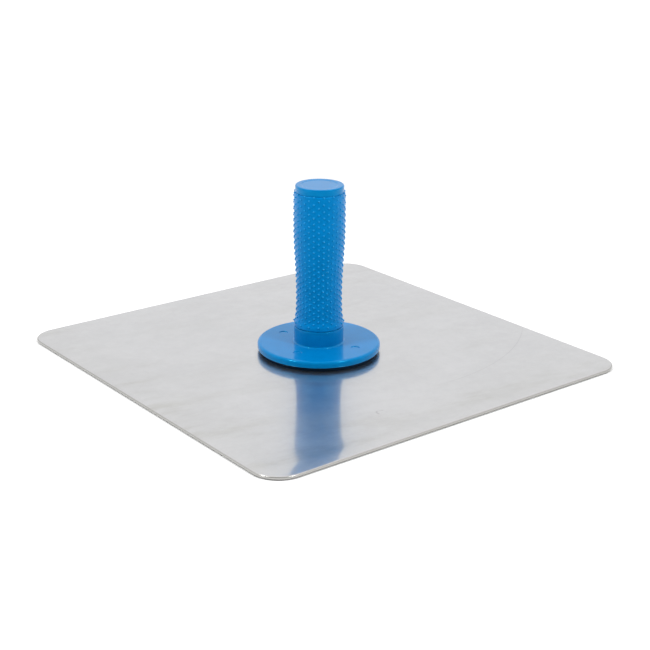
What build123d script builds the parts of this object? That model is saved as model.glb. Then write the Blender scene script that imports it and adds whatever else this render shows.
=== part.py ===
from build123d import *
import os

# Plasterer's hawk: a square aluminium plate lying on its working face, and one round handle
# standing on the middle of it.  Millimetres, +Z up.  The origin is the centre of the working
# face, X and Y run along the plate's edges.

# Plate: rolled sheet with rounded corners and a pressed, countersunk dimple for the screw head
plate_side = 300.0
plate_thickness = 2.0
plate_corner_radius = 19.0
plate_edge_radius = 0.5
dimple_lip_height = 0.9          # straight wall of the screw hole above the countersink
screw_hole_clearance = 0.4       # all round the shank, in the plate and in the handle

# Pad between the plate and the handle's flange
pad_inset = 1.9                  # from the flange's rim
pad_thickness = 2.6
pad_hole_clearance = 0.7         # all round the dimple

# Handle core: flange, neck and inner tube in one moulding
flange_radius = 43.2
flange_thickness = 4.7
flange_top_fillet = 2.0
flange_bottom_fillet = 0.6
neck_step = 4.35                 # shoulder round the tube, which the grip stands on
neck_height = 11.7               # from the flange's top to the foot of the grip
neck_root_fillet = 1.0
neck_rim_fillet = 0.4
tube_wall = 3.0
spanner_room = 2.0               # in the tube, all round the washer or the nut
floor_thickness = 8.4            # web that the screw clamps, above the recess for the dimple
dimple_headroom = 0.5            # between the dimple and the recess that clears it
mark_count = 4                   # shallow round marks in the flange's top
mark_radius = 3.0
mark_depth = 0.4
mark_inset = 14.0                # from the flange's rim to a mark's middle
mark_angle = 22.0                # degrees from +X to the first mark

# Grip: a soft waisted sleeve over the tube, from the neck to the end cap
grip_length = 96.0
grip_head_wall = 4.4             # thickness over the tube, from the head to the top
grip_head_depth = 24.0           # where the grip stops widening, below its top
grip_waist_wall = 2.45
grip_waist_height = 23.0         # of the narrowest place, above the grip's foot
grip_flare_wall = 3.05
grip_flare_height = 7.0
grip_foot_height = 3.0           # straight band at the foot
grip_edge_fillet = 0.4
grip_fit = 0.1                   # all round the tube

# End cap: a plug pressed into the open top of the tube
cap_inset = 0.65                 # from the grip's top edge
cap_height = 4.9
cap_edge_fillet = 1.0
cap_foot_fillet = 0.4
cap_rim_width = 3.7              # round the dished middle
cap_dish_depth = 0.25
cap_dish_slope = 1.0             # width of the dish's sloping edge
cap_skirt_length = 12.0
cap_skirt_wall = 1.8
cap_skirt_chamfer = 0.6
cap_fit = 0.1                    # all round the skirt

# Countersunk socket screw, washer and nut, size M8
screw_radius = 4.0
screw_length = 25.0
screw_head_radius = 7.9
screw_head_land = 0.4            # straight edge of the head
screw_recess = 0.15              # head below the working face
screw_seat_fit = 0.05
screw_end_chamfer = 0.8
socket_across_flats = 5.0
socket_depth = 2.6
washer_radius = 8.0
washer_thickness = 1.6
washer_bore_clearance = 0.2
nut_across_flats = 13.0
nut_height = 6.5
nut_bore_fit = 0.05
nut_chamfer_width = 0.9          # taken off the corners, at both ends
nut_chamfer_height = 0.45

# Radii that follow from the sizes above
countersink_radius = screw_head_radius + screw_recess + screw_head_land + screw_seat_fit
screw_hole_radius = screw_radius + screw_hole_clearance
dimple_flare_radius = countersink_radius + plate_thickness * (2 ** 0.5 - 1)
dimple_top = countersink_radius - screw_hole_radius + dimple_lip_height
dimple_top_radius = dimple_flare_radius + plate_thickness - dimple_top
pad_radius = flange_radius - pad_inset
pad_hole_radius = dimple_flare_radius + pad_hole_clearance
nut_corner_radius = nut_across_flats / 3 ** 0.5
tube_bore_radius = max(washer_radius, nut_corner_radius) + spanner_room
tube_radius = tube_bore_radius + tube_wall
neck_radius = tube_radius + neck_step
grip_flare_radius = tube_radius + grip_flare_wall
grip_waist_radius = tube_radius + grip_waist_wall
grip_head_radius = tube_radius + grip_head_wall
cap_radius = grip_head_radius - cap_inset
cap_dish_radius = cap_radius - cap_rim_width
mark_circle_radius = flange_radius - mark_inset

# Heights above the working face that follow from the sizes above
pad_top = plate_thickness + pad_thickness
flange_top = pad_top + flange_thickness
recess_top = max(pad_top, dimple_top) + dimple_headroom
floor_top = recess_top + floor_thickness
grip_foot = flange_top + neck_height
grip_top = grip_foot + grip_length
cap_top = grip_top + cap_height
washer_top = floor_top + washer_thickness
nut_top = washer_top + nut_height


def disc(radius, bottom, top):
    """Upright cylinder on the handle's axis."""
    base = (Align.CENTER, Align.CENTER, Align.MIN)
    return Pos(0, 0, bottom) * Cylinder(radius, top - bottom, align=base)


def prism(across_flats, bottom, top):
    """Upright hexagonal bar on the handle's axis."""
    outline = RegularPolygon(across_flats / 2, 6, major_radius=False)
    return extrude(Pos(0, 0, bottom) * outline, top - bottom)


def turned(*edges):
    """Solid of revolution from a closed outline of (radius, height) edges."""
    return revolve(Plane.XZ * make_face(Curve() + list(edges)), Axis.Z)


def rims(solid, radius, height):
    """The circular edges that have this radius and this height."""
    circles = solid.edges().filter_by(GeomType.CIRCLE)
    return circles.filter_by(lambda e: abs(e.radius - radius) < 1e-4 and abs(e.arc_center.Z - height) < 1e-4)


def make_plate():
    sheet = extrude(RectangleRounded(plate_side, plate_side, plate_corner_radius), plate_thickness)
    borders = sheet.edges().group_by(Axis.Z)
    sheet = fillet(borders[0] + borders[-1], plate_edge_radius)
    sheet -= disc(dimple_flare_radius, 0, plate_thickness)
    dimple = turned(Polyline(
        (countersink_radius, 0),
        (dimple_flare_radius, 0),
        (dimple_flare_radius, plate_thickness),
        (dimple_top_radius, dimple_top),
        (screw_hole_radius, dimple_top),
        (screw_hole_radius, dimple_top - dimple_lip_height),
        close=True,
    ))
    return sheet + dimple


def make_pad():
    return disc(pad_radius, plate_thickness, pad_top) - disc(pad_hole_radius, plate_thickness, pad_top)


def make_core():
    flange = disc(flange_radius, pad_top, flange_top)
    neck = disc(neck_radius, flange_top, grip_foot)
    tube = disc(tube_radius, grip_foot, grip_top)
    core = flange + neck + tube
    core = fillet(rims(core, flange_radius, flange_top), flange_top_fillet)
    core = fillet(rims(core, flange_radius, pad_top), flange_bottom_fillet)
    core = fillet(rims(core, neck_radius, flange_top), neck_root_fillet)
    core = fillet(rims(core, neck_radius, grip_foot), neck_rim_fillet)
    core -= disc(pad_hole_radius, pad_top, recess_top)
    core -= disc(screw_hole_radius, recess_top, floor_top)
    core -= disc(tube_bore_radius, floor_top, grip_top)
    marks = PolarLocations(mark_circle_radius, mark_count, mark_angle)
    for place in marks:
        core -= place * disc(mark_radius, flange_top - mark_depth, flange_top)
    return core


def make_grip():
    bore = tube_radius + grip_fit
    side = Spline(
        (neck_radius, grip_foot + grip_foot_height),
        (grip_flare_radius, grip_foot + grip_flare_height),
        (grip_waist_radius, grip_foot + grip_waist_height),
        (grip_head_radius, grip_top - grip_head_depth),
        (grip_head_radius, grip_top),
        tangents=[(-0.6, 1), (-0.1, 1), (0, 1), (0, 1), (0, 1)],
    )
    ends = Polyline(
        side @ 1,
        (bore, grip_top),
        (bore, grip_foot),
        (neck_radius, grip_foot),
        side @ 0,
    )
    grip = turned(side, ends)
    grip = fillet(rims(grip, grip_head_radius, grip_top), grip_edge_fillet)
    return fillet(rims(grip, neck_radius, grip_foot), grip_edge_fillet)


def make_cap():
    skirt_radius = tube_bore_radius - cap_fit
    skirt_foot = grip_top - cap_skirt_length
    head = disc(cap_radius, grip_top, cap_top)
    head = fillet(rims(head, cap_radius, cap_top), cap_edge_fillet)
    head = fillet(rims(head, cap_radius, grip_top), cap_foot_fillet)
    dish = Cone(cap_dish_radius - cap_dish_slope, cap_dish_radius, cap_dish_depth)
    head -= Pos(0, 0, cap_top - cap_dish_depth / 2) * dish
    skirt = disc(skirt_radius, skirt_foot, grip_top)
    skirt = chamfer(rims(skirt, skirt_radius, skirt_foot), cap_skirt_chamfer)
    skirt -= disc(skirt_radius - cap_skirt_wall, skirt_foot, grip_top)
    return head + skirt


def make_screw():
    land_top = screw_recess + screw_head_land
    end = screw_recess + screw_length
    screw = turned(Polyline(
        (0, screw_recess),
        (screw_head_radius, screw_recess),
        (screw_head_radius, land_top),
        (screw_radius, land_top + screw_head_radius - screw_radius),
        (screw_radius, end - screw_end_chamfer),
        (screw_radius - screw_end_chamfer, end),
        (0, end),
        close=True,
    ))
    return screw - prism(socket_across_flats, screw_recess, screw_recess + socket_depth)


def make_washer():
    ring = disc(washer_radius, floor_top, washer_top)
    return ring - disc(screw_radius + washer_bore_clearance, floor_top, washer_top)


def make_nut():
    bar = prism(nut_across_flats, washer_top, nut_top)
    turned_down = disc(nut_corner_radius, washer_top, nut_top)
    ends = rims(turned_down, nut_corner_radius, washer_top) + rims(turned_down, nut_corner_radius, nut_top)
    turned_down = chamfer(ends, nut_chamfer_height, nut_chamfer_width)
    return (bar & turned_down) - disc(screw_radius + nut_bore_fit, washer_top, nut_top)


makers = {
    "hawk_plate": make_plate,
    "flange_pad": make_pad,
    "handle_core": make_core,
    "grip_sleeve": make_grip,
    "end_cap": make_cap,
    "clamp_screw": make_screw,
    "flat_washer": make_washer,
    "hex_nut": make_nut,
}

os.makedirs("parts", exist_ok=True)
for node, make in makers.items():
    export_step(make(), f"parts/{node}.step")
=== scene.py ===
"""A plasterer's hawk: a square aluminium sheet with a round, soft-gripped handle on its middle.

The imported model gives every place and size.  Each step has its own operator, and the sidebar
panel lists them in the order that a maker would put the hawk together.
"""

import math

import bmesh
import bpy
from bpy.props import FloatProperty, FloatVectorProperty, IntProperty, PointerProperty
from mathutils import Matrix, Vector, noise


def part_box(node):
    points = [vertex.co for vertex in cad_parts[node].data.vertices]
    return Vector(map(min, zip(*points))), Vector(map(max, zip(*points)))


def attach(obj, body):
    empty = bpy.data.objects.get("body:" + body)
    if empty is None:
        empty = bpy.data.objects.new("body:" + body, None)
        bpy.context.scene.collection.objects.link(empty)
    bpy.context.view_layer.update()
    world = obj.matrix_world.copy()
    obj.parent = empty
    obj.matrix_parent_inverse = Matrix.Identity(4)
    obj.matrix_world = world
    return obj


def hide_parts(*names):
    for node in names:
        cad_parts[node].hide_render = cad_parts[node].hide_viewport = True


bl_info = {
    "name": "Plasterer's Hawk",
    "version": (1, 0, 0),
    "blender": (4, 5, 0),
    "location": "3D View > Sidebar > Hawk",
    "description": "Builds a plasterer's hawk with a pimpled grip around its packed frame",
    "category": "Add Mesh",
}

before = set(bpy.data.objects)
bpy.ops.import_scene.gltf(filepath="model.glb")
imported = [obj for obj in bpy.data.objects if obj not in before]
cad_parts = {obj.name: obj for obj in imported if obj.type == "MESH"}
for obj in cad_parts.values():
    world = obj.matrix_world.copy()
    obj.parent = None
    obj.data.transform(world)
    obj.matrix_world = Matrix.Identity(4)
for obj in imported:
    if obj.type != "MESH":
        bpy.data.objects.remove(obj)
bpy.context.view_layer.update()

MM = 0.001
BODY = "root"

plate_low, plate_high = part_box("hawk_plate")
pad_low, pad_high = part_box("flange_pad")
core_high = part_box("handle_core")[1]
grip_low, grip_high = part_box("grip_sleeve")
cap_low, cap_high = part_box("end_cap")
screw_low, screw_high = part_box("clamp_screw")
washer_low, washer_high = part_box("flat_washer")
nut_low, nut_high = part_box("hex_nut")


# -------- settings

def length(name, default, description):
    """A length in metres, shown in the scene's unit."""
    return FloatProperty(name=name, description=description, default=default, min=0.0,
                         unit="LENGTH", subtype="DISTANCE", precision=5)


def angle(name, degrees, description):
    """An angle, kept in radians and shown in degrees."""
    return FloatProperty(name=name, description=description, default=math.radians(degrees),
                         subtype="ANGLE")


def count(name, default, description):
    """A whole number of at least one."""
    return IntProperty(name=name, description=description, default=default, min=1, subtype="UNSIGNED")


def share(name, default, description):
    """A number from 0 to 1."""
    return FloatProperty(name=name, description=description, default=default, min=0.0, max=1.0,
                         subtype="FACTOR")


def colour(name, default, description):
    """A linear colour."""
    return FloatVectorProperty(name=name, description=description, default=default, size=3,
                               min=0.0, max=1.0, subtype="COLOR")


def point(name, default, description):
    """A place on the sheet, or in space, in metres."""
    return FloatVectorProperty(name=name, description=description, default=default, size=len(default),
                               subtype="TRANSLATION", unit="LENGTH")


def strength(name, default, description):
    """A plain number that cannot be negative."""
    return FloatProperty(name=name, description=description, default=default, min=0.0,
                         subtype="UNSIGNED")


class HawkPlateSettings(bpy.types.PropertyGroup):
    """Sizes and finish of the aluminium sheet"""
    corner_radius: length("Corner radius", 19 * MM, "Radius of the four corners")
    edge_radius: length("Edge radius", 0.7 * MM, "Rounding of the sheared edges")
    lip_height: length("Lip height", 0.22 * MM, "Height of the low ridge at the edges")
    lip_inset: length("Lip inset", 9 * MM, "Distance of the ridge from them")
    lip_width: length("Lip width", 8 * MM, "How far it falls away to each side")
    wave_height: length("Wave height", 0.2 * MM, "Height of the long shallow waves")
    wave_length: length("Wave length", 110 * MM, "Distance between those waves")
    flare_radius: length("Flare radius", 9.28 * MM, "Where the dimple leaves the sheet")
    countersink_radius: length("Countersink", 8.5 * MM, "Mouth of the countersink")
    hole_radius: length("Screw hole", 4.4 * MM, "Radius of the screw's hole")
    hole_wall: length("Hole wall", 0.9 * MM, "Height of its straight wall")
    scratch_middle: point("Scratch middle", (-65 * MM, 35 * MM), "Middle of the long scratch's arc")
    scratch_radius: length("Scratch radius", 165 * MM, "Radius of that arc")
    smudge_middle: point("Smudge middle", (111 * MM, -36 * MM), "Middle of a ring-shaped smudge")
    metal: colour("Metal", (0.69, 0.69, 0.704), "Colour of the rolled sheet")
    polish: share("Polish", 0.09, "Roughness of the clear reflection")
    haze: share("Haze", 0.45, "Share of the blurred reflection")
    haze_roughness: share("Haze roughness", 0.34, "Roughness of the blurred reflection")


class HawkHandleSettings(bpy.types.PropertyGroup):
    """Sizes and finish of the handle, its pad and its cap"""
    flange_thickness: length("Flange thickness", 4.7 * MM, "Thickness of the flange")
    rim_fillet: length("Rim fillet", 2 * MM, "Rounding of its upper rim")
    rim_foot: length("Rim foot", 0.6 * MM, "Rounding of its lower rim")
    root_fillet: length("Root fillet", 1 * MM, "Fillet at the neck's foot")
    neck_fillet: length("Neck fillet", 0.4 * MM, "Rounding at the neck's top")
    tube_radius: length("Tube radius", 13 * MM, "Outside of the tube under the grip")
    bore_radius: length("Bore radius", 10 * MM, "Inside of that tube")
    recess_radius: length("Recess radius", 9.98 * MM, "Recess over the dimple, and pad hole")
    recess_height: length("Recess height", 0.95 * MM, "Height of that recess")
    hole_radius: length("Screw hole", 4.4 * MM, "Radius of the screw's hole")
    mark_count: count("Marks", 4, "Round marks in the flange")
    mark_radius: length("Mark radius", 3 * MM, "Radius of each mark")
    mark_depth: length("Mark depth", 0.4 * MM, "Depth of each mark")
    mark_inset: length("Mark inset", 14 * MM, "From the rim to a mark's middle")
    mark_angle: angle("First mark", 22, "Direction of the first mark")
    cap_edge: length("Cap edge", 1 * MM, "Rounding of the cap's edge")
    cap_foot: length("Cap foot", 0.4 * MM, "Rounding under the cap's head")
    cap_rim: length("Cap rim", 3.7 * MM, "Width of the rim round its dish")
    cap_dish: length("Cap dish", 0.25 * MM, "Depth of that dish")
    skirt_gap: length("Skirt gap", 0.1 * MM, "Room round the skirt in the tube")
    skirt_wall: length("Skirt wall", 1.8 * MM, "Wall of the cap's skirt")
    plastic: colour("Plastic", (0.0, 0.172, 0.452), "Colour of the moulded plastic")
    tint: colour("Shine", (0.05, 0.75, 1.0), "Colour of its reflections")
    gloss: share("Roughness", 0.13, "Roughness of the moulded plastic")
    foam: colour("Pad", (0.001, 0.012, 0.03), "Colour of the pad")


class HawkGripSettings(bpy.types.PropertyGroup):
    """Shape, pimples and colour of the soft grip"""
    wall: length("Head wall", 4.4 * MM, "Thickness at the head")
    waist_wall: length("Waist wall", 2.45 * MM, "Thickness at the waist")
    waist_height: length("Waist height", 23 * MM, "Height of the waist above the foot")
    flare_wall: length("Flare wall", 3.05 * MM, "Thickness where the foot flares out")
    flare_height: length("Flare height", 7 * MM, "Height of that place")
    foot_height: length("Foot band", 3 * MM, "Height of the straight foot")
    head_depth: length("Head depth", 24 * MM, "From the top to where it stops widening")
    foot_gap: length("Foot gap", 0.45 * MM, "Height of the groove over the neck")
    foot_fillet: length("Foot fillet", 0.35 * MM, "Rounding of the lower edge")
    brow_fillet: length("Brow fillet", 0.8 * MM, "Rounding of the upper edge")
    bore_gap: length("Bore gap", 0.1 * MM, "Room round the tube")
    columns: count("Columns", 32, "Columns of pimples")
    rows: count("Rows", 23, "Pimples in each column")
    first_row: length("First row", 3.25 * MM, "Height of the lowest pimples")
    row_pitch: length("Row pitch", 4.01 * MM, "Distance between those pimples")
    spread_from: count("Spread from", 18, "Row above which the rows move apart")
    spread: length("Spread", 0.11 * MM, "How fast they move apart")
    column_phase: angle("Phase", 5.8, "Direction of the first column")
    pimple_radius: length("Pimple radius", 0.78 * MM, "Radius of a pimple's foot")
    pimple_height: length("Pimple height", 0.72 * MM, "How far a pimple stands out")
    rubber: colour("Rubber", (0.0, 0.184, 0.5), "Colour of the grip")
    # Painted highlight: the paler colour given to the tops of the pimples.
    tip: colour("Pimple tips", (0.02, 0.3, 0.62), "Colour of their rubbed tips")
    tint: colour("Shine", (0.05, 0.75, 1.0), "Colour of its reflections")
    sheen: share("Roughness", 0.31, "Roughness of the rubber")


class HawkFastenerSettings(bpy.types.PropertyGroup):
    """Sizes and finish of the screw, washer and nut"""
    shank_radius: length("Shank radius", 4 * MM, "Outside radius of the thread")
    thread_pitch: length("Thread pitch", 1.25 * MM, "Distance between threads")
    thread_depth: length("Thread depth", 0.7 * MM, "Depth of the thread")
    head_land: length("Head land", 0.4 * MM, "Straight edge of the head")
    socket_flats: length("Socket", 5 * MM, "Across the socket's flats")
    socket_depth: length("Socket depth", 2.6 * MM, "Depth of the socket")
    thread_gap: length("Thread gap", 0.05 * MM, "Room between the two threads")
    washer_gap: length("Washer gap", 0.2 * MM, "Room round the screw")
    zinc: colour("Zinc", (0.56, 0.57, 0.58), "Colour of the zinc plating")


class HawkStageSettings(bpy.types.PropertyGroup):
    """Camera, floor and light"""
    lens: FloatProperty(name="Lens", description="Focal length of the camera", default=76.17,
                        min=1.0, unit="CAMERA")
    azimuth: angle("Azimuth", 51.784, "Direction of the camera from the handle")
    elevation: angle("Elevation", 20.045, "Height of the camera above the horizon")
    roll: angle("Roll", 0.45, "Turn about the camera's own axis")
    distance: length("Distance", 1.02565, "From the camera to its aim")
    aim: point("Aim", (-0.04142, 0.0381, 0.0), "Point that the camera looks at")
    sky: strength("Sky", 0.92, "Strength of the studio's even light")
    zenith: strength("Zenith", 1.36, "Share of that light overhead")
    front: share("Front", 0.36, "Share of that light on the camera's side")
    glow: share("Glow", 0.62, "How far the floor's far part is lit up")
    box_power: strength("Box power", 8.4, "Power of each soft box in watts")
    box_width: length("Box width", 0.22, "Width of each box")
    box_height: length("Box height", 0.5, "Height of each box")
    box_distance: length("Box distance", 1.5, "From the sheet to each box")
    box_climb: angle("Box climb", 50, "Height of the boxes above the horizon")
    left_box: angle("Left box", -64, "Turn from the camera to the left box")
    right_box: angle("Right box", 56, "Turn from the camera to the right box")
    floor: colour("Floor", (0.84, 0.84, 0.84), "Colour of the floor")
    floor_reach: length("Floor reach", 15.0, "From the floor's middle to its sides")
    floor_drop: length("Floor drop", 0.2 * MM, "Room between the floor and the sheet")


# -------- node graphs

class Wire:
    """An output socket that sums and products can be written with."""

    def __init__(self, graph, socket):
        self.graph = graph
        self.socket = socket

    def __add__(self, other):
        return self.graph.math("ADD", self, other)

    def __sub__(self, other):
        return self.graph.math("SUBTRACT", self, other)

    def __rsub__(self, other):
        return self.graph.math("SUBTRACT", other, self)

    def __mul__(self, other):
        return self.graph.math("MULTIPLY", self, other)

    def __truediv__(self, other):
        return self.graph.math("DIVIDE", self, other)

    def __rtruediv__(self, other):
        return self.graph.math("DIVIDE", other, self)

    def __mod__(self, other):
        return self.graph.math("MODULO", self, other)

    __radd__ = __add__
    __rmul__ = __mul__


class Graph:
    """A node tree, and the method that every node in it comes from."""

    def __init__(self, tree):
        self.tree = tree

    def node(self, kind, sockets, **settings):
        """A new node with its settings made and its sockets filled, by name or by number."""
        node = self.tree.nodes.new(kind)
        for name, value in settings.items():
            setattr(node, name, value)
        for name, value in sockets.items():
            if isinstance(value, Wire):
                self.tree.links.new(value.socket, node.inputs[name])
            else:
                node.inputs[name].default_value = value
        return node

    def add(self, kind, sockets=None, output=0, **settings):
        """An output of a new node."""
        return Wire(self, self.node(kind, sockets or {}, **settings).outputs[output])

    def beside(self, wire, output):
        """Another output of the node that a wire comes from."""
        return Wire(self, wire.socket.node.outputs[output])

    def vector(self, operation, first, second=(0.0, 0.0, 0.0), output=0):
        return self.add("ShaderNodeVectorMath", {0: first, 1: second}, output, operation=operation)

    def math(self, operation, *values):
        return self.add("ShaderNodeMath", dict(enumerate(values)), operation=operation)

    def smooth(self, value, low, high, start=0.0, end=1.0):
        """Eases from start to end while value goes from low to high."""
        sockets = {"Value": value, "From Min": low, "From Max": high, "To Min": start, "To Max": end}
        return self.add("ShaderNodeMapRange", sockets, interpolation_type="SMOOTHSTEP")

    def mix(self, factor, first, second):
        """A colour between two others."""
        first, second = [(*c, 1.0) if isinstance(c, tuple) else c for c in (first, second)]
        return self.add("ShaderNodeMix", {"Factor": factor, 6: first, 7: second}, 2, data_type="RGBA")


class Finish(Graph):
    """A material's graph, with the patterns that the hawk's finishes share."""

    def __init__(self, name):
        self.material = bpy.data.materials.new(name)
        self.material.use_nodes = True
        super().__init__(self.material.node_tree)
        self.tree.nodes.clear()
        self.place = self.add("ShaderNodeTexCoord", output="Object")
        self.east = self.add("ShaderNodeSeparateXYZ", {0: self.place})
        self.north = self.beside(self.east, 1)

    def turned(self, degrees, scale):
        """Object coordinates turned about Z and then stretched."""
        turn = (0, 0, math.radians(degrees))
        around = self.add("ShaderNodeMapping", {"Vector": self.place, "Rotation": turn}, vector_type="POINT")
        return self.vector("MULTIPLY", around, scale)

    def grain(self, scale, detail=2.0, rough=0.5, where=None):
        """Soft noise from 0 to 1."""
        return self.add("ShaderNodeTexNoise", {"Vector": where or self.place, "Scale": scale,
                                               "Detail": detail, "Roughness": rough})

    def far(self, across, along):
        return self.math("SQRT", across * across + along * along)

    def ring(self, middle, radius, width):
        """A soft line along a circle round a point of the sheet."""
        across = self.east - middle[0]
        along = self.north - middle[1]
        off = self.math("ABSOLUTE", self.far(across, along) - radius)
        return self.smooth(off, 0.0, width, 1.0, 0.0)

    def border(self, straight):
        """Distance out from the square that the sheet's rounded corners are centred on."""
        past = [self.math("ABSOLUTE", side) - straight for side in (self.east, self.north)]
        return self.far(*[self.math("MAXIMUM", side, 0.0) for side in past])

    def bump(self, height, strength, distance):
        return self.add("ShaderNodeBump", {"Height": height, "Strength": strength, "Distance": distance})

    def surface(self, sockets):
        return self.add("ShaderNodeBsdfPrincipled", sockets)

    def done(self, shader):
        self.node("ShaderNodeOutputMaterial", {"Surface": shader})
        return self.material


# -------- finishes

def rolled_aluminium(settings):
    """Mill-finished sheet: a clear reflection under a haze, clouded and scratched by use, with painted shade
    along its edge.
    """
    f = Finish("rolled aluminium")
    clouds = f.grain(14.0, 6.0, 0.68)
    rolled = f.grain(14.0, 5.0, 0.7, f.turned(0, (9.0, 1.0, 1.0)))
    flecks = f.grain(240.0, 3.0, 0.7, f.turned(0, (2.2, 1.0, 1.0)))
    smears = f.grain(7.0, 6.0, 0.7, f.turned(12, (4.0, 1.0, 1.0)))
    wisps = f.smooth(smears, 0.48, 0.7)
    hairs = f.smooth(f.grain(36.0, where=f.turned(-4, (24.0, 0.35, 1.0))), 0.66, 0.74)
    long_scratch = f.ring(settings.scratch_middle, settings.scratch_radius, 0.45 * MM)
    scratch = long_scratch * f.smooth(f.east, 45 * MM, 75 * MM) * f.smooth(f.north, 10 * MM, 45 * MM)
    smudge = f.ring(settings.smudge_middle, 3 * MM, 1.2 * MM) * f.smooth(f.grain(300.0), 0.4, 0.6)
    corner = settings.corner_radius
    # Painted shade: a dark line mixed into the colour over the sheet's outermost millimetre, its rounded
    # edge and its wall.
    sheared_and_shaded = f.smooth(f.border(plate_high.x - corner), corner - 0.9 * MM, corner - 0.4 * MM)
    soiled_near = f.smooth(f.north * -1.0, 90 * MM, 148 * MM)
    soiled = f.math("MAXIMUM", f.smooth(f.east, 80 * MM, 148 * MM), soiled_near)
    tone = f.smooth(clouds * 0.5 + rolled * 0.24 + flecks * 0.26, 0.36, 0.64)
    metal = tuple(settings.metal)
    dull = tuple(c * 0.93 for c in metal)
    stain = (metal[0] * 0.8, metal[1] * 0.795, metal[2] * 0.75)
    face = f.mix(tone, dull, metal)
    face = f.mix(wisps * (soiled * 0.6 + 0.25) + soiled * 0.16, face, stain)
    face = f.mix(scratch * 0.3 + smudge * 0.45, face, (0.3, 0.3, 0.29))
    # Painted shade along the edge, in a dark brownish grey.
    face = f.mix(sheared_and_shaded * 0.85, face, (0.4, 0.393, 0.375))
    relief = f.bump(rolled * 0.25 + flecks * 0.15 + hairs * 0.5 - scratch * 0.5, 0.06, 0.4 * MM)
    sharp = f.smooth(smears, 0.3, 0.75, settings.polish * 0.9, settings.polish * 1.2)
    blurred = f.smooth(clouds, 0.3, 0.7, settings.haze_roughness * 0.92, settings.haze_roughness * 1.08)
    both = {"Base Color": face, "Metallic": 1.0, "Normal": relief}
    clear = f.surface({**both, "Roughness": sharp})
    hazy = f.surface({**both, "Roughness": blurred})
    share_of_haze = f.smooth(clouds, 0.3, 0.7, settings.haze - 0.05, settings.haze + 0.05) + soiled * 0.05
    return f.done(f.add("ShaderNodeMixShader", {0: share_of_haze, 1: clear, 2: hazy}))


def foam_rubber(settings):
    """Nearly black closed-cell rubber, with a faint blue bloom in places."""
    f = Finish("foam rubber")
    cells = f.grain(2600.0, 2.0, 0.6)
    bloom = f.smooth(f.grain(70.0, 3.0, 0.6), 0.5, 0.75)
    base = tuple(settings.foam)
    return f.done(f.surface({
        "Base Color": f.mix(bloom * 0.35, base, (0.01, 0.02, 0.036)),
        "Roughness": f.smooth(cells, 0.3, 0.7, 0.72, 0.9),
        "Specular IOR Level": 0.12,
        "Normal": f.bump(cells, 0.5, 0.2 * MM),
    }))


def moulded_plastic(settings):
    """Glossy blue plastic with the faint mottling and orange peel of a moulding."""
    f = Finish("moulded plastic")
    mottle = f.grain(120.0, 3.0, 0.55)
    peel = f.grain(700.0)
    rubs = f.smooth(f.grain(90.0, 4.0, 0.6), 0.5, 0.8)
    base = tuple(settings.plastic)
    deep = tuple(c * 0.93 for c in base)
    return f.done(f.surface({
        "Base Color": f.mix(f.smooth(mottle, 0.3, 0.7), deep, base),
        "Roughness": f.smooth(mottle, 0.25, 0.75, settings.gloss * 0.85, settings.gloss * 1.1) + rubs * 0.06,
        "IOR": 1.5,
        "Specular Tint": (*settings.tint, 1.0),
        "Normal": f.bump(peel, 0.03, 0.1 * MM),
    }))


def grip_rubber(settings):
    """Soft blue rubber, with a painted highlight that makes the tops of its pimples paler."""
    f = Finish("grip rubber")
    mottle = f.grain(160.0, 3.0, 0.6)
    pores = f.grain(2400.0)
    tip_highlight_share = f.add("ShaderNodeAttribute", output=2, attribute_name="tip")
    base = tuple(settings.rubber)
    deep = tuple(c * 0.92 for c in base)
    body = f.mix(f.smooth(mottle, 0.35, 0.7), deep, base)
    return f.done(f.surface({
        # Painted highlight: the tops of the pimples are mixed toward a paler blue.
        "Base Color": f.mix(tip_highlight_share, body, tuple(settings.tip)),
        "Roughness": f.smooth(mottle, 0.3, 0.7, settings.sheen * 0.9, settings.sheen * 1.12),
        "IOR": 1.36,
        "Specular Tint": (*settings.tint, 1.0),
        "Normal": f.bump(pores, 0.08, 0.1 * MM),
    }))


def zinc_plate(settings):
    """Bright zinc over turned steel."""
    f = Finish("zinc plate")
    turned = f.grain(900.0, where=f.turned(0, (0.1, 0.1, 3.0)))
    cloud = f.smooth(f.grain(300.0, 3.0, 0.6), 0.3, 0.7)
    base = tuple(settings.zinc)
    warm = (base[0] * 0.95, base[1] * 0.92, base[2] * 0.84)
    return f.done(f.surface({
        "Base Color": f.mix(cloud, base, warm),
        "Metallic": 1.0,
        "Roughness": f.smooth(turned, 0.3, 0.7, 0.26, 0.4),
        "Normal": f.bump(turned, 0.08, 0.1 * MM),
    }))


# -------- meshes

def rounded(corners, closed=True, bends=6, lead=0.25 * MM):
    """An outline of (radius, height) points from (radius, height, fillet) corners.

    Each fillet becomes an arc of so many bends, with one more point close to each end of it, so
    that the faces beside it keep their own direction when they are shaded smooth."""
    points = []
    total = len(corners)
    for i, corner in enumerate(corners):
        here = Vector(corner[:2])
        fillet = corner[2] if len(corner) > 2 else 0.0
        if not fillet or (not closed and i in (0, total - 1)):
            points.append(here)
            continue
        back = (Vector(corners[i - 1][:2]) - here).normalized()
        ahead = (Vector(corners[(i + 1) % total][:2]) - here).normalized()
        half = back.angle(ahead) / 2
        reach = fillet / math.tan(half)
        centre = here + (back + ahead).normalized() * fillet / math.sin(half)
        first = here + back * reach
        last = here + ahead * reach
        swing = (first - centre).angle(last - centre)
        points.append(first + back * min(lead, reach / 2))
        for bend in range(bends + 1):
            along = bend / bends
            arm = ((first - centre) * math.sin((1 - along) * swing)
                   + (last - centre) * math.sin(along * swing)) / math.sin(swing)
            points.append(centre + arm)
        points.append(last + ahead * min(lead, reach / 2))
    return [tuple(p) for p in points]


def add_vertex(mesh, radius, turn, height):
    """A vertex at a distance and a direction from the handle's axis."""
    return mesh.verts.new((radius * math.cos(turn), radius * math.sin(turn), height))


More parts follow.
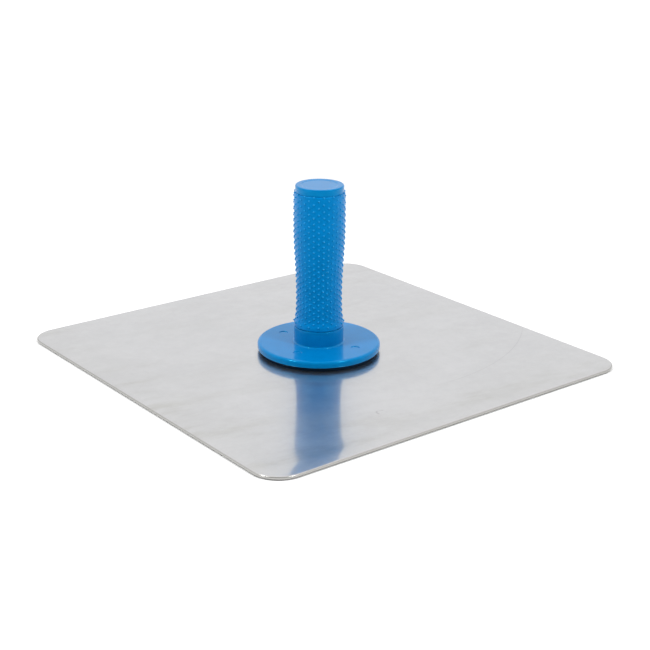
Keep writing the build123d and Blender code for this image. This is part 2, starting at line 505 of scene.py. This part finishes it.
def add_ring(mesh, radius, height, around, sides=0):
    """One level ring of vertices, or the single vertex of a pole.  With sides it is a polygon."""
    if radius <= 0:
        return [add_vertex(mesh, 0, 0, height)]
    ring = []
    for i in range(around):
        turn = 2 * math.pi * i / around
        reach = radius
        if sides:
            part = 2 * math.pi / sides
            reach = radius / math.cos((turn + part / 2) % part - part / 2)
        ring.append(add_vertex(mesh, reach, turn, height))
    return ring


def join_rings(mesh, rings, closed=False):
    """The bands of faces between rings that follow each other, any of which may be a pole."""
    following = rings[1:] + rings[:1] if closed else rings[1:]
    for lower, upper in zip(rings, following):
        size = max(len(lower), len(upper))
        for i in range(size):
            j = (i + 1) % size
            if len(lower) == 1:
                mesh.faces.new((lower[0], upper[j], upper[i]))
            elif len(upper) == 1:
                mesh.faces.new((lower[i], lower[j], upper[0]))
            else:
                mesh.faces.new((lower[i], lower[j], upper[j], upper[i]))


def lathe(outline, around=96):
    """A closed solid of revolution, from an outline that closes on itself or on the axis."""
    mesh = bmesh.new()
    rings = [add_ring(mesh, radius, height, around) for radius, height in outline]
    join_rings(mesh, rings, closed=outline[0][0] > 0)
    return mesh


def to_object(name, mesh, sharp=35.0):
    """Makes a mesh an object with outward faces, smooth but for edges over an angle."""
    bmesh.ops.recalc_face_normals(mesh, faces=mesh.faces)
    data = bpy.data.meshes.new(name)
    mesh.to_mesh(data)
    mesh.free()
    data.shade_smooth()
    data.set_sharp_from_angle(angle=math.radians(sharp))
    piece = bpy.data.objects.new(name, data)
    bpy.context.scene.collection.objects.link(piece)
    return piece


def apply_modifiers(piece):
    """Leaves the piece with the plain mesh that its modifiers make."""
    bpy.context.view_layer.update()
    graph = bpy.context.evaluated_depsgraph_get()
    made = bpy.data.meshes.new_from_object(piece.evaluated_get(graph), depsgraph=graph)
    piece.modifiers.clear()
    piece.data = made
    made.name = piece.name


def finish_piece(piece, node, material):
    """Gives a piece its finish and its body, and hides the node that it stands for."""
    piece.data.materials.clear()
    piece.data.materials.append(material)
    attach(piece, BODY)
    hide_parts(node)
    return piece


# -------- the plate

def plate_outline(side, corner, inset):
    """Points round a rounded square, as many for any inset."""
    runs = 36
    bends = 14
    smallest = 1.5 * MM
    half = side / 2 - inset
    radius = max(corner - inset, smallest)
    straight = half - radius
    points = []
    for quarter in range(4):
        turn = quarter * math.pi / 2
        ahead = Vector((math.cos(turn), math.sin(turn)))
        left = Vector((-math.sin(turn), math.cos(turn)))
        for i in range(runs):
            points.append(ahead * half + left * straight * (2 * i / runs - 1))
        for i in range(bends):
            swing = math.pi / 2 * i / bends
            centre = (ahead + left) * straight
            points.append(centre + (ahead * math.cos(swing) + left * math.sin(swing)) * radius)
    return points


def plate_lift(place, settings, side, quiet):
    """Height of the sheet's shallow shape: long waves, and a ridge near its edges."""
    calm_width = 50 * MM
    calm = min(max((place.length - quiet) / calm_width, 0.0), 1.0)
    calm = calm * calm * (3 - 2 * calm)
    spot = Vector((place.x, place.y, 0.0)) / settings.wave_length
    wave = 0.5 + 0.5 * noise.noise(spot + Vector((3.1, 7.7, 0.5)))
    inset = side / 2 - max(abs(place.x), abs(place.y))
    fall = (inset - settings.lip_inset) / settings.lip_width
    lip = math.exp(-fall * fall)
    return calm * (settings.wave_height * wave + settings.lip_height * lip)


def build_plate(settings):
    """The sheet, as rings: round the dimple, out underneath, over the edge and back on top."""
    side = plate_high.x - plate_low.x
    thick = pad_low.z
    dimple_top = plate_high.z
    flare = settings.flare_radius
    crown = flare + thick - dimple_top
    hole = settings.hole_radius
    edge = settings.edge_radius
    corner = settings.corner_radius
    # Insets from the edge in millimetres, close together over the ridge and the edge
    insets = [19, 16, 13.5, 11.5, 9.5, 7.5, 5.5, 4, 2.8, 1.9]
    blend_end = 22 * MM
    shares = [(i / 24) ** 1.15 for i in range(25)]
    arcs = [math.pi / 2 * i / 5 for i in range(6)]
    turns = [math.atan2(p.y, p.x) for p in plate_outline(side, corner, 0.0)]
    mesh = bmesh.new()

    def lifted(places, height):
        lifts = [plate_lift(p, settings, side, core_high.x) for p in places]
        return [mesh.verts.new((p.x, p.y, lift + height)) for p, lift in zip(places, lifts)]

    def sheet_ring(inset, height):
        return lifted(plate_outline(side, corner, inset), height)

    def blended(share_out, height):
        starts = [Vector((math.cos(turn), math.sin(turn))) * (flare + 0.3 * MM) for turn in turns]
        ends = plate_outline(side, corner, blend_end)
        return lifted([start.lerp(end, share_out) for start, end in zip(starts, ends)], height)

    dimple = [
        (flare, thick),
        (crown + 0.2 * MM, dimple_top - 0.2 * MM),
        (crown - 0.1 * MM, dimple_top),
        (hole + 0.15 * MM, dimple_top),
        (hole, dimple_top - 0.15 * MM),
        (hole, dimple_top - settings.hole_wall),
        (settings.countersink_radius, 0.0),
        (flare, 0.0),
    ]
    rings = [[add_vertex(mesh, radius, turn, height) for turn in turns] for radius, height in dimple]
    rings += [blended(share_out, 0.0) for share_out in shares]
    rings += [sheet_ring(i * MM, 0.0) for i in insets]
    rings += [sheet_ring(edge * (1 - math.sin(a)), edge * (1 - math.cos(a))) for a in arcs]
    rings += [sheet_ring(edge * (1 - math.cos(a)), thick - edge * (1 - math.sin(a))) for a in arcs]
    rings += [sheet_ring(i * MM, thick) for i in reversed(insets)]
    rings += [blended(share_out, thick) for share_out in reversed(shares)]
    join_rings(mesh, rings, closed=True)
    bmesh.ops.remove_doubles(mesh, verts=mesh.verts, dist=0.002 * MM)
    plate = to_object("rolled_plate", mesh, 40.0)
    return finish_piece(plate, "hawk_plate", rolled_aluminium(settings))


# -------- the handle

def build_pad(settings):
    """The rubber ring under the flange."""
    hole = settings.recess_radius
    rim = pad_high.x
    low, high = pad_low.z, pad_high.z
    soft = 0.35 * MM
    crisp = 0.2 * MM
    corners = [(hole, low, crisp), (rim, low, soft), (rim, high, soft), (hole, high, crisp)]
    outline = rounded(corners, bends=4)
    pad = to_object("rubber_pad", lathe(outline, 128))
    return finish_piece(pad, "flange_pad", foam_rubber(settings))


def mark_cutters(settings, top):
    """The cutters for the flange's marks, as one mesh."""
    cutters = bmesh.new()
    circle = core_high.x - settings.mark_inset
    radius = settings.mark_radius
    wide = radius + 0.25 * MM
    foot = top - settings.mark_depth
    over = top + 1 * MM
    soft = 0.1 * MM
    outline = rounded([
        (0, foot),
        (radius - 0.12 * MM, foot, soft),
        (radius, top - soft, soft),
        (wide, top + soft),
        (wide, over),
        (0, over),
    ], False, 3, 0.05 * MM)
    for i in range(settings.mark_count):
        turn = settings.mark_angle + 2 * math.pi * i / settings.mark_count
        centre = Vector((circle * math.cos(turn), circle * math.sin(turn), 0))
        cutter = lathe(outline, 40)
        bmesh.ops.translate(cutter, vec=centre, verts=cutter.verts)
        bmesh.ops.recalc_face_normals(cutter, faces=cutter.faces)
        part = bpy.data.meshes.new("mark")
        cutter.to_mesh(part)
        cutter.free()
        cutters.from_mesh(part)
        bpy.data.meshes.remove(part)
    return cutters


def build_core(settings):
    """The moulding, turned from one outline, with the marks cut into its flange."""
    rim = core_high.x
    low = pad_high.z
    flange_top = low + settings.flange_thickness
    neck_top = grip_low.z
    neck = grip_high.x
    tube_top = grip_high.z
    floor_top = washer_low.z
    recess_top = low + settings.recess_height
    sharp = 30.0
    outline = rounded([
        (settings.hole_radius, recess_top, 0.0),
        (settings.recess_radius, recess_top, 0.15 * MM),
        (settings.recess_radius, low, 0.2 * MM),
        (rim, low, settings.rim_foot),
        (rim, flange_top, settings.rim_fillet),
        (neck, flange_top, settings.root_fillet),
        (neck, neck_top, settings.neck_fillet),
        (settings.tube_radius, neck_top, 0.0),
        (settings.tube_radius, tube_top, 0.25 * MM),
        (settings.bore_radius, tube_top, 0.25 * MM),
        (settings.bore_radius, floor_top, 0.5 * MM),
        (settings.hole_radius, floor_top, 0.15 * MM),
    ], bends=8)
    core = to_object("handle_moulding", lathe(outline, 160), sharp)
    cutter = to_object("mark_cutter", mark_cutters(settings, flange_top))
    cut = core.modifiers.new("marks", "BOOLEAN")
    cut.operation = "DIFFERENCE"
    cut.solver = "EXACT"
    cut.object = cutter
    apply_modifiers(core)
    bpy.data.objects.remove(cutter)
    core.data.set_sharp_from_angle(angle=math.radians(sharp))
    even = core.modifiers.new("even", "WEIGHTED_NORMAL")
    even.keep_sharp = True
    even.weight = 60
    return finish_piece(core, "handle_core", moulded_plastic(settings))


def build_cap(settings):
    """The dished plug, with its skirt inside the tube."""
    low = grip_high.z
    top = cap_high.z
    head = cap_high.x
    dish = head - settings.cap_rim
    skirt = settings.bore_radius - settings.skirt_gap
    inside = skirt - settings.skirt_wall
    foot = cap_low.z
    floor = top - settings.cap_dish
    slope = 1 * MM
    outline = rounded([
        (0, floor),
        (dish - slope, floor, 0.6 * MM),
        (dish, top, 0.6 * MM),
        (head, top, settings.cap_edge),
        (head, low, settings.cap_foot),
        (skirt, low, 0.15 * MM),
        (skirt, foot, 0.6 * MM),
        (inside, foot, 0.15 * MM),
        (inside, low, 0.3 * MM),
        (0, low),
    ], False, 7, 0.12 * MM)
    cap = to_object("cap_plug", lathe(outline, 128), 40.0)
    material = bpy.data.materials.get("moulded plastic") or moulded_plastic(settings)
    return finish_piece(cap, "end_cap", material)


# -------- the grip

def spline_outline(settings, tube):
    """The grip's outside from foot to top, through five radii with a lean at each."""
    ring_distance = 2.6 * MM
    foot, top = grip_low.z, grip_high.z
    stations = [
        (grip_high.x, foot + settings.foot_height, -0.6),
        (tube + settings.flare_wall, foot + settings.flare_height, -0.1),
        (tube + settings.waist_wall, foot + settings.waist_height, 0),
        (tube + settings.wall, top - settings.head_depth, 0),
        (tube + settings.wall, top, 0),
    ]
    points = []
    for (*start, lean_a), (*end, lean_b) in zip(stations, stations[1:]):
        start, end = Vector(start), Vector(end)
        chord = (end - start).length
        a = Vector((lean_a, 1)).normalized() * chord
        b = Vector((lean_b, 1)).normalized() * chord
        parts = max(3, round(chord / ring_distance))
        for i in range(parts):
            t = i / parts
            h00 = 2 * t ** 3 - 3 * t ** 2 + 1
            h10 = t ** 3 - 2 * t ** 2 + t
            h01 = -2 * t ** 3 + 3 * t ** 2
            h11 = t ** 3 - t ** 2
            points.append(tuple(start * h00 + a * h10 + end * h01 + b * h11))
    return points


def grip_body(settings):
    """The smooth sleeve, with a thin groove between its foot and the neck."""
    foot, top = grip_low.z, grip_high.z
    tube = bpy.context.scene.hawk_handle.tube_radius
    bore = tube + settings.bore_gap
    head = tube + settings.wall
    side = spline_outline(settings, tube)
    lifted = foot + settings.foot_gap
    groove = grip_high.x - 0.9 * MM
    lead = 0.12 * MM
    band = rounded([(bore, foot), (groove, foot), (groove, lifted),
                    (grip_high.x, lifted, settings.foot_fillet), side[0]], False, 5, lead)
    brow = rounded([side[-1], (head, top, settings.brow_fillet), (bore, top), (bore, foot)], False, 5, lead)
    return lathe(band + side[1:-1] + brow[:-1], 120)


def pimple_shape(settings):
    """One low dome with a flared foot, and an attribute that rises from its foot to its top, for the painted
    highlight on the pimples.
    """
    r, h = settings.pimple_radius, settings.pimple_height
    outline = [(r * 1.1, -0.2 * h), (r, 0.04 * h), (r * 0.78, h * 0.32), (r * 0.62, h * 0.66),
               (r * 0.36, h * 0.93), (0, h)]
    dome = bmesh.new()
    rings = [add_ring(dome, radius, height, 10) for radius, height in outline]
    join_rings(dome, rings)
    dome.faces.new(tuple(reversed(rings[0])))
    shape = to_object("pimple", dome, 80.0)
    tip = shape.data.attributes.new("tip", "FLOAT", "POINT")
    for vertex, value in zip(shape.data.vertices, tip.data):
        # Height share of each vertex, used as the mask of the painted highlight.
        value.value = min(max(vertex.co.z / h, 0.0), 1.0) ** 1.5
    return shape


def pimple_tree():
    """Nodes that stand a shape over a body of revolution, in staggered columns."""
    tree = bpy.data.node_groups.new("staggered pimples", "GeometryNodeTree")
    kinds = {"Geometry": "Geometry", "Shape": "Object", "Columns": "Int", "Rows": "Int", "First": "Float",
             "Pitch": "Float", "Spread From": "Int", "Spread": "Float", "Phase": "Float",
             "Material": "Material"}
    for name, kind in kinds.items():
        tree.interface.new_socket(name, in_out="INPUT", socket_type="NodeSocket" + kind)
    tree.interface.new_socket("Geometry", in_out="OUTPUT", socket_type="NodeSocketGeometry")
    g = Graph(tree)
    start = g.add("NodeGroupInput")
    given = {socket.name: Wire(g, socket) for socket in start.socket.node.outputs if socket.name}
    columns, rows = given["Columns"], given["Rows"]
    number = g.add("GeometryNodeInputIndex")
    column = number % columns
    row = g.math("FLOOR", number / columns)
    stagger = (column % 2.0) * 0.5
    level = row + stagger
    late = g.math("MAXIMUM", level - given["Spread From"], 0.0)
    height = given["First"] + level * given["Pitch"] + late * late * given["Spread"]
    turn = given["Phase"] + column * (2 * math.pi) / columns
    out = g.add("ShaderNodeCombineXYZ", {0: g.math("COSINE", turn), 1: g.math("SINE", turn)})
    centre = g.add("ShaderNodeCombineXYZ", {2: height})
    outside = g.vector("ADD", g.vector("MULTIPLY", out, (0.1, 0.1, 0.1)), centre)
    inward = g.vector("MULTIPLY", out, (-1.0, -1.0, -1.0))
    hit = g.add("GeometryNodeRaycast", {
        "Target Geometry": given["Geometry"],
        "Source Position": outside,
        "Ray Direction": inward,
        "Ray Length": 0.2,
    }, output=1)
    normal = g.beside(hit, 2)
    points = g.add("GeometryNodePoints", {"Count": columns * rows, "Position": hit})
    shape = g.add("GeometryNodeObjectInfo", {"Object": given["Shape"]}, output=4)
    stand = g.add("FunctionNodeAlignRotationToVector", {"Vector": normal}, axis="Z")
    dotted = g.add("GeometryNodeInstanceOnPoints", {"Points": points, "Instance": shape, "Rotation": stand})
    real = g.add("GeometryNodeRealizeInstances", {"Geometry": dotted})
    both = g.add("GeometryNodeJoinGeometry", {0: real})
    tree.links.new(given["Geometry"].socket, both.socket.node.inputs[0])
    painted = g.add("GeometryNodeSetMaterial", {"Geometry": both, "Material": given["Material"]})
    g.node("NodeGroupOutput", {0: painted})
    return tree


def stand_pimples(body, settings, material):
    """Covers the sleeve with pimples."""
    shape = pimple_shape(settings)
    cover = body.modifiers.new("pimples", "NODES")
    cover.node_group = pimple_tree()
    faces = cover.node_group.interface.items_tree
    sockets = {s.name: s.identifier for s in faces if s.in_out == "INPUT"}
    values = {
        "Shape": shape,
        "Columns": settings.columns,
        "Rows": settings.rows,
        "First": grip_low.z + settings.first_row,
        "Pitch": settings.row_pitch,
        "Spread From": settings.spread_from,
        "Spread": settings.spread,
        "Phase": settings.column_phase,
        "Material": material,
    }
    for name, value in values.items():
        cover[sockets[name]] = value
    apply_modifiers(body)
    bpy.data.objects.remove(shape)


def build_grip(settings):
    """The sleeve with its pimples."""
    body = to_object("pimpled_grip", grip_body(settings))
    material = grip_rubber(settings)
    stand_pimples(body, settings, material)
    return finish_piece(body, "grip_sleeve", material)


# -------- the fasteners

def thread_rings(mesh, settings, radius, low, high, around, inside=False):
    """Rings whose radius follows a screw thread that fades out toward both ends."""
    rows_per_turn = 8
    fade = 0.8 * settings.thread_pitch
    rows = max(4, round((high - low) / settings.thread_pitch * rows_per_turn))
    rings = []
    for row in range(rows + 1):
        height = low + (high - low) * row / rows
        ends = min(1.0, min(height - low, high - height) / fade)
        ring = []
        for i in range(around):
            turn = 2 * math.pi * i / around
            phase = (height / settings.thread_pitch - i / around) % 1.0
            cut = min(1.0, max(0.0, 1.35 * abs(2 * phase - 1) - 0.15)) * settings.thread_depth
            reach = radius + cut * ends if inside else radius - cut * ends
            ring.append(add_vertex(mesh, reach, turn, height))
        rings.append(ring)
    return rings


def build_screw(settings):
    """The screw, as rings: out of its socket, round its head and up its thread."""
    around = 48
    low, high = screw_low.z, screw_high.z
    head = screw_high.x
    shank = settings.shank_radius
    land = low + settings.head_land
    cone = land + head - shank
    chamfer = 0.8 * MM
    socket = settings.socket_flats / 2
    deep = low + settings.socket_depth
    bevel = 0.35 * MM
    soft = 0.12 * MM
    root = 0.4 * MM
    mesh = bmesh.new()
    outline = [
        (0, deep + 0.5 * MM, 0),
        (0.8 * socket, deep + 0.1 * MM, 0),
        (socket, deep, 6),
        (socket, low + bevel, 6),
        (socket + bevel, low, 6),
        (head - 0.5 * MM, low, 0),
        (head - soft, low, 0),
        (head, low + soft, 0),
        (head, land, 0),
        (shank + root, cone - root, 0),
        (shank, cone + root, 0),
    ]
    rings = [add_ring(mesh, radius, height, around, sides) for radius, height, sides in outline]
    rings += thread_rings(mesh, settings, shank, cone + 2 * root, high - chamfer, around)
    rings += [add_ring(mesh, shank - chamfer, high, around), add_ring(mesh, 0, high, around)]
    join_rings(mesh, rings)
    screw = to_object("countersunk_screw", mesh, 28.0)
    return finish_piece(screw, "clamp_screw", zinc_finish(settings))


def build_washer(settings):
    """The washer, with soft edges."""
    hole = settings.shank_radius + settings.washer_gap
    low, high = washer_low.z, washer_high.z
    rim = washer_high.x
    soft = 0.3 * MM
    crisp = 0.2 * MM
    corners = [(hole, low, crisp), (rim, low, soft), (rim, high, soft), (hole, high, crisp)]
    outline = rounded(corners, bends=4, lead=0.1 * MM)
    washer = to_object("turned_washer", lathe(outline, 72))
    return finish_piece(washer, "flat_washer", zinc_finish(settings))


def build_nut(settings):
    """The hexagon, with a corner on the X axis and its corners turned down at both ends."""
    around = 48
    low, high = nut_low.z, nut_high.z
    flats = nut_high.y
    shoulder = flats / math.cos(math.pi / 6) - 0.9 * MM
    bore = settings.shank_radius + settings.thread_gap
    mouth = bore + 0.5 * MM
    mesh = bmesh.new()

    def outside(height, taken):
        ring = []
        part = math.pi / 3
        for i in range(around):
            turn = 2 * math.pi * i / around
            reach = flats / math.cos(turn % part - part / 2)
            level = height
            if taken:
                reach = min(reach, shoulder)
            else:
                drop = max(0.0, reach - shoulder) * 0.5
                level += math.copysign(drop, (low + high) / 2 - height)
            ring.append(add_vertex(mesh, reach, turn, level))
        return ring

    rings = [
        outside(low, True),
        outside(low + 0.02 * MM, False),
        outside(high - 0.02 * MM, False),
        outside(high, True),
        add_ring(mesh, mouth, high, around),
    ]
    inner = thread_rings(mesh, settings, bore, low + 0.3 * MM, high - 0.3 * MM, around, True)
    rings += list(reversed(inner)) + [add_ring(mesh, mouth, low, around)]
    join_rings(mesh, rings, closed=True)
    nut = to_object("threaded_nut", mesh, 28.0)
    return finish_piece(nut, "hex_nut", zinc_finish(settings))


def zinc_finish(settings):
    """One zinc finish for the three fasteners."""
    return bpy.data.materials.get("zinc plate") or zinc_plate(settings)


# -------- operators

def toward(azimuth, elevation):
    """The direction at a turn from the front and a height above the horizon."""
    level = math.cos(elevation)
    return Vector((math.sin(azimuth) * level, -math.cos(azimuth) * level, math.sin(elevation)))


class HAWK_OT_stage(bpy.types.Operator):
    """Sets up the camera, floor and light"""
    bl_idname = "hawk.stage"
    bl_label = "Stage"

    def execute(self, context):
        s = context.scene.hawk_stage
        scene = context.scene
        scene.view_settings.view_transform = "Standard"
        scene.view_settings.look = "None"
        lens = bpy.data.cameras.new("camera")
        lens.lens = s.lens
        lens.clip_start = 0.05
        lens.clip_end = 60.0
        camera = bpy.data.objects.new("camera", lens)
        scene.collection.objects.link(camera)
        back = toward(s.azimuth, s.elevation)
        camera.rotation_mode = "QUATERNION"
        camera.location = Vector(s.aim) + back * s.distance
        look = (-back).to_track_quat("-Z", "Y")
        camera.rotation_quaternion = look @ Matrix.Rotation(s.roll, 3, "Z").to_quaternion()
        scene.camera = camera
        self.floor(scene, s)
        self.sky(scene, s)
        self.soft_box(scene, "left box", s.left_box, s)
        self.soft_box(scene, "right box", s.right_box, s)
        return {"FINISHED"}

    def floor(self, scene, s):
        mesh = bmesh.new()
        bmesh.ops.create_grid(mesh, x_segments=24, y_segments=24, size=s.floor_reach)
        data = bpy.data.meshes.new("floor")
        mesh.to_mesh(data)
        mesh.free()
        data.transform(Matrix.Translation((0, 0, -s.floor_drop)))
        floor = bpy.data.objects.new("floor", data)
        f = Finish("studio floor")
        even = f.grain(0.8)
        near = tuple(c * 0.99 for c in s.floor)
        away = f.vector("LENGTH", f.place, output=1)
        glow = f.smooth(away, 0.45, 2.2, 0.0, s.glow)
        data.materials.append(f.done(f.surface({
            "Base Color": f.mix(even, near, tuple(s.floor)),
            "Emission Color": f.mix(glow, (0.0, 0.0, 0.0), (1.0, 1.0, 1.0)),
            "Emission Strength": 1.0,
            "Roughness": 0.9,
            "Specular IOR Level": 0.1,
        })))
        scene.collection.objects.link(floor)

    def sky(self, scene, s):
        world = bpy.data.worlds.new("studio")
        world.use_nodes = True
        scene.world = world
        g = Graph(world.node_tree)
        g.tree.nodes.clear()
        place = g.add("ShaderNodeTexCoord", output="Generated")
        front = toward(s.azimuth, 0.0)
        side = g.vector("DOT_PRODUCT", place, front, output=1)
        up = g.beside(g.add("ShaderNodeSeparateXYZ", {0: place}), 2)
        dome = g.smooth(up, 0.35, 0.85, s.sky, s.sky * s.zenith)
        level = dome * g.smooth(side, -0.1, 0.9, 1.0, s.front)
        shine = g.add("ShaderNodeBackground", {"Color": (1.0, 1.0, 1.0, 1.0), "Strength": level})
        g.node("ShaderNodeOutputWorld", {"Surface": shine})

    def soft_box(self, scene, name, side, s):
        place = toward(s.azimuth + side, s.box_climb) * s.box_distance
        data = bpy.data.lights.new(name, "AREA")
        data.shape = "RECTANGLE"
        data.size = s.box_width
        data.size_y = s.box_height
        data.energy = s.box_power
        lamp = bpy.data.objects.new(name, data)
        lamp.location = place
        lamp.rotation_mode = "QUATERNION"
        lamp.rotation_quaternion = (Vector((0, 0, 0.04)) - place).to_track_quat("-Z", "Y")
        scene.collection.objects.link(lamp)


class HAWK_OT_plate(bpy.types.Operator):
    """Makes the aluminium sheet with its dimple, waves and low ridge"""
    bl_idname = "hawk.plate"
    bl_label = "Plate"

    def execute(self, context):
        build_plate(context.scene.hawk_plate)
        return {"FINISHED"}


class HAWK_OT_pad(bpy.types.Operator):
    """Makes the pad between the sheet and the flange"""
    bl_idname = "hawk.pad"
    bl_label = "Pad"

    def execute(self, context):
        build_pad(context.scene.hawk_handle)
        return {"FINISHED"}


class HAWK_OT_core(bpy.types.Operator):
    """Makes the moulding of flange, neck and tube"""
    bl_idname = "hawk.core"
    bl_label = "Handle core"

    def execute(self, context):
        build_core(context.scene.hawk_handle)
        return {"FINISHED"}


class HAWK_OT_fasteners(bpy.types.Operator):
    """Makes the countersunk screw, its washer and its nut"""
    bl_idname = "hawk.fasteners"
    bl_label = "Screw, washer and nut"

    def execute(self, context):
        settings = context.scene.hawk_fasteners
        build_screw(settings)
        build_washer(settings)
        build_nut(settings)
        return {"FINISHED"}


class HAWK_OT_grip(bpy.types.Operator):
    """Makes the soft sleeve and stands its pimples on it"""
    bl_idname = "hawk.grip"
    bl_label = "Grip"

    def execute(self, context):
        build_grip(context.scene.hawk_grip)
        return {"FINISHED"}


class HAWK_OT_cap(bpy.types.Operator):
    """Makes the cap that plugs the top of the tube"""
    bl_idname = "hawk.cap"
    bl_label = "End cap"

    def execute(self, context):
        build_cap(context.scene.hawk_handle)
        return {"FINISHED"}


class HAWK_PT_panel(bpy.types.Panel):
    """Lists the steps in the order that they are made"""
    bl_idname = "HAWK_PT_panel"
    bl_label = "Plasterer's Hawk"
    bl_space_type = "VIEW_3D"
    bl_region_type = "UI"
    bl_category = "Hawk"

    def draw(self, context):
        for step in steps:
            self.layout.operator(step.bl_idname, text=step.bl_label)


setting_groups = {
    "hawk_stage": HawkStageSettings,
    "hawk_plate": HawkPlateSettings,
    "hawk_handle": HawkHandleSettings,
    "hawk_grip": HawkGripSettings,
    "hawk_fasteners": HawkFastenerSettings,
}
steps = (HAWK_OT_stage, HAWK_OT_plate, HAWK_OT_pad, HAWK_OT_core, HAWK_OT_fasteners, HAWK_OT_grip,
         HAWK_OT_cap)


def register():
    for name, group in setting_groups.items():
        bpy.utils.register_class(group)
        setattr(bpy.types.Scene, name, PointerProperty(type=group))
    for part in (*steps, HAWK_PT_panel):
        bpy.utils.register_class(part)


def unregister():
    for part in (HAWK_PT_panel, *reversed(steps)):
        bpy.utils.unregister_class(part)
    for name, group in setting_groups.items():
        delattr(bpy.types.Scene, name)
        bpy.utils.unregister_class(group)


def main():
    register()
    for step in steps:
        getattr(bpy.ops.hawk, step.bl_idname.split(".")[1])()


if __name__ == "__main__":
    main()
